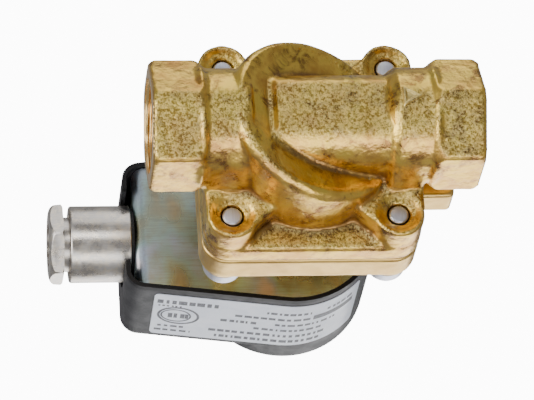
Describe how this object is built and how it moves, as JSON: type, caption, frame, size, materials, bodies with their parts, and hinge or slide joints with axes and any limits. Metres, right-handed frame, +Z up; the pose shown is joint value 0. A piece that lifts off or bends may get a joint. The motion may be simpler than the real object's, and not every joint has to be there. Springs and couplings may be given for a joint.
{
  "type": "solenoid valve",
  "caption": "Two-port pilot-assisted diaphragm solenoid valve: forged brass body with hexagon pipe ends, bolted bonnet, swivelling coil housing and cable gland.",
  "frame": {"origin": "centre of the inlet port face, on the pipe axis", "axes": "+X along the flow from inlet to outlet, +Z up the coil stem, +Y to the left of the flow"},
  "size_m": [0.1162, 0.0614, 0.1232],
  "materials": {
    "forged_brass": "forged, tumbled and lightly mottled",
    "bonnet_brass": "forged, paler, satin",
    "zinc_steel": "zinc plated",
    "diaphragm_rubber": "moulded nitrile rubber with fabric",
    "turned_brass": "turned",
    "stainless": "drawn",
    "magnetic_steel": "ground",
    "seal_rubber": "moulded",
    "copper": "copper, plain",
    "housing_black": "satin dark grey to black coating",
    "passivated_steel": "zinc plated, iridescent passivation",
    "bobbin_plastic": "moulded",
    "winding": "enamelled copper wire",
    "terminal_metal": "nickel plated",
    "label": null,
    "nickel_brass": "nickel plated brass, satin"
  },
  "bodies": {
    "root": {"valve_body": "forged_brass", "bonnet": "bonnet_brass", "bonnet_screws": "zinc_steel", "spring_washers": "zinc_steel", "core_tube": "stainless", "tube_seal": "seal_rubber", "tube_collar": "turned_brass", "fixed_core": "magnetic_steel", "shading_ring": "copper", "top_seal": "seal_rubber", "coil_washer": "zinc_steel", "coil_nut": "zinc_steel"},
    "diaphragm_unit": {"diaphragm": "diaphragm_rubber", "support_plate": "turned_brass", "pilot_seat": "turned_brass", "pilot_nut": "turned_brass", "lift_clip": "stainless"},
    "armature_unit": {"armature": "magnetic_steel", "armature_seal": "seal_rubber", "return_spring": "stainless"},
    "coil_unit": {"coil_housing": "housing_black", "base_plate": "passivated_steel", "lower_seal": "seal_rubber", "coil_bobbin": "bobbin_plastic", "coil_winding": "winding", "terminal_block": "bobbin_plastic", "terminal_screws": "terminal_metal", "coil_leads": "winding", "earth_screw": "terminal_metal", "rating_label": "label", "gland_body": "nickel_brass", "gland_gasket": "seal_rubber", "gland_locknut": "nickel_brass", "gland_seal": "seal_rubber"},
    "gland_slide": {"gland_washer": "nickel_brass"},
    "gland_screw": {"gland_nut": "nickel_brass"}
  },
  "joints": [
    {"name": "main_lift", "type": "slide", "parent": "root", "child": "diaphragm_unit", "axis": [0, 0, 1], "range_m": [0, 0.004], "deforming": ["diaphragm"]},
    {"name": "pilot_lift", "type": "slide", "parent": "diaphragm_unit", "child": "armature_unit", "axis": [0, 0, 1], "range_m": [0, 0.0011], "stiffness_N_per_m": 300, "springref_m": -0.008, "deforming": ["return_spring"]},
    {"name": "coil_swivel", "type": "hinge", "parent": "root", "child": "coil_unit", "pos_m": [0.046, 0, 0.0775], "axis": [0, 0, 1], "continuous": true},
    {"name": "gland_travel", "type": "slide", "parent": "coil_unit", "child": "gland_slide", "axis": [1, 0, 0], "range_m": [0, 0.00157]},
    {"name": "gland_nut_turn", "type": "hinge", "parent": "gland_slide", "child": "gland_screw", "pos_m": [-0.02, 0, 0.0712], "axis": [1, 0, 0], "range_deg": [0, 400]}
  ],
  "couplings": [
    {"joint": "gland_nut_turn", "follows": "gland_travel", "rad_per_m": 4453}
  ]
}
